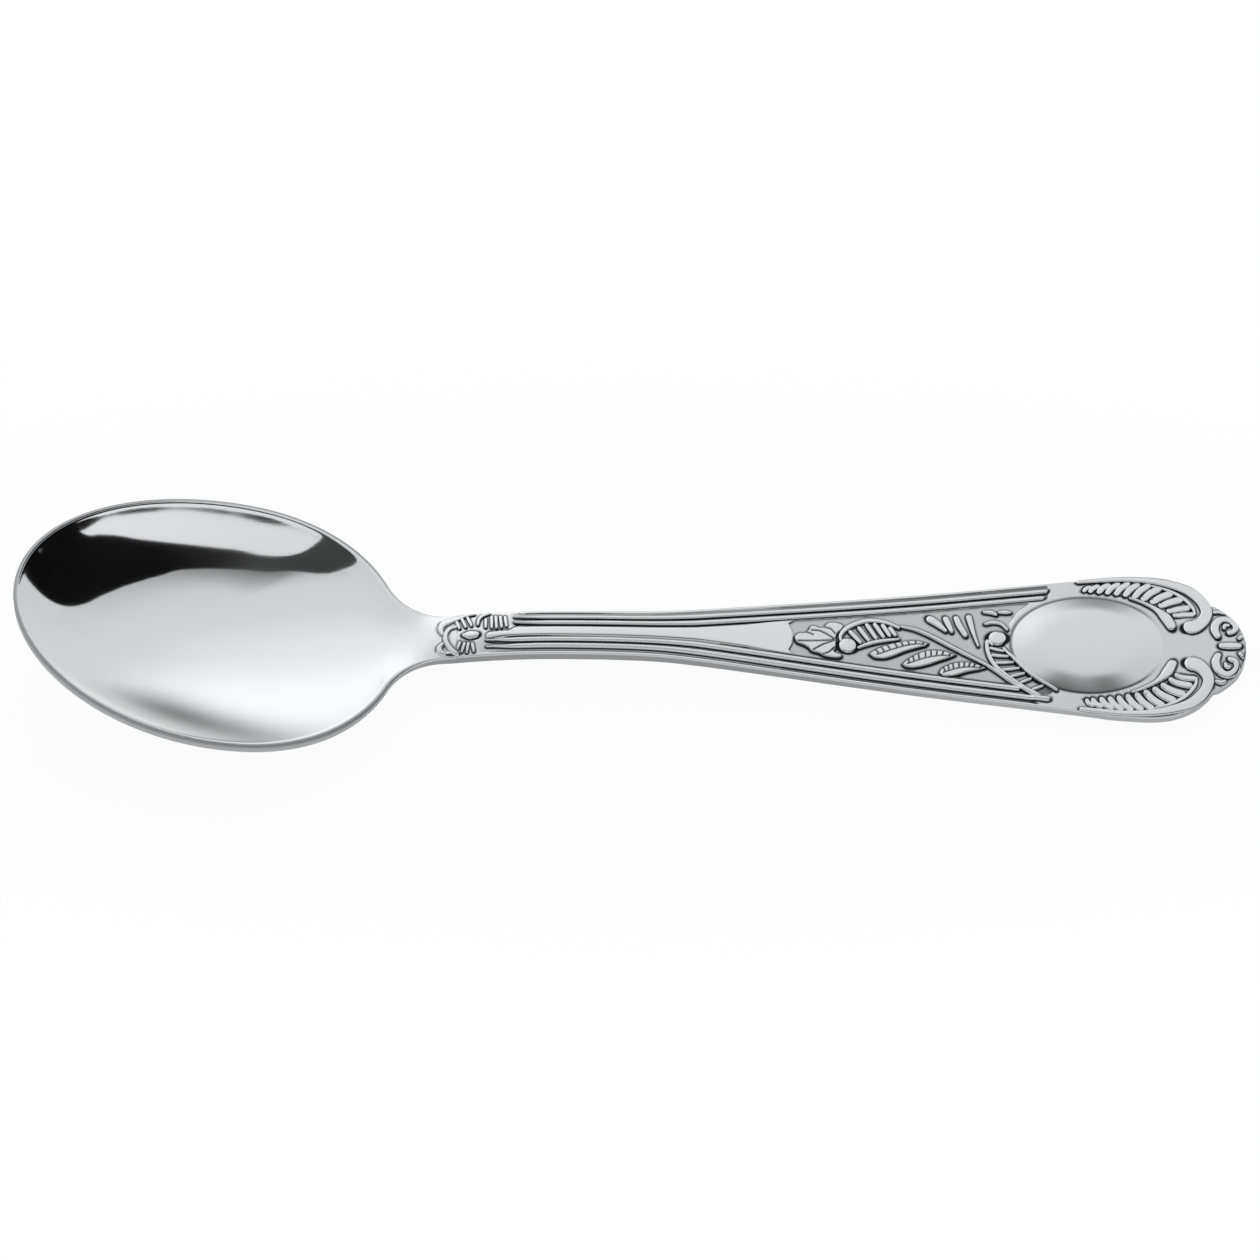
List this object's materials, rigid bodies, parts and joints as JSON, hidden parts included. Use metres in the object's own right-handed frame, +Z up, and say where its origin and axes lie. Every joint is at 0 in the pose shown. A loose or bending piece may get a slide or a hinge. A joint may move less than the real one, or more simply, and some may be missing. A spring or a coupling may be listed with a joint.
{
  "type": "teaspoon",
  "caption": "Stainless steel teaspoon with an oval bowl, slim arched stem and a flared, scroll-ornamented handle ending in a shell.",
  "frame": {"origin": "middle of the bounding box in plan, on the surface the spoon lies on", "axes": "+X from the bowl's tip to the handle's end, +Z up out of the bowl's hollow, +Y to the left of +X; XZ is the mirror plane of the bowl and of the handle's outline"},
  "size_m": [0.14, 0.032, 0.0148],
  "materials": {
    "polished_steel": "polished",
    "struck_steel": "struck relief, polished on its heights"
  },
  "bodies": {
    "root": {"bowl": "polished_steel", "stem": "polished_steel", "panel": "polished_steel", "terminal": "polished_steel", "outer_threads": "struck_steel", "inner_threads": "struck_steel", "neck_shell": "struck_steel", "neck_flutes": "struck_steel", "neck_boss": "struck_steel", "leaf_tip": "struck_steel", "ribbon_scroll": "struck_steel", "fern_rib": "struck_steel", "fern_leaves": "struck_steel", "bars": "struck_steel", "bow": "struck_steel", "crossing_scroll": "struck_steel", "crossing_rungs": "struck_steel", "cartouche": "polished_steel", "shoulder_scrolls": "struck_steel", "shoulder_flutes": "struck_steel", "leaf_buds": "struck_steel", "tip_shell": "struck_steel"}
  },
  "joints": []
}
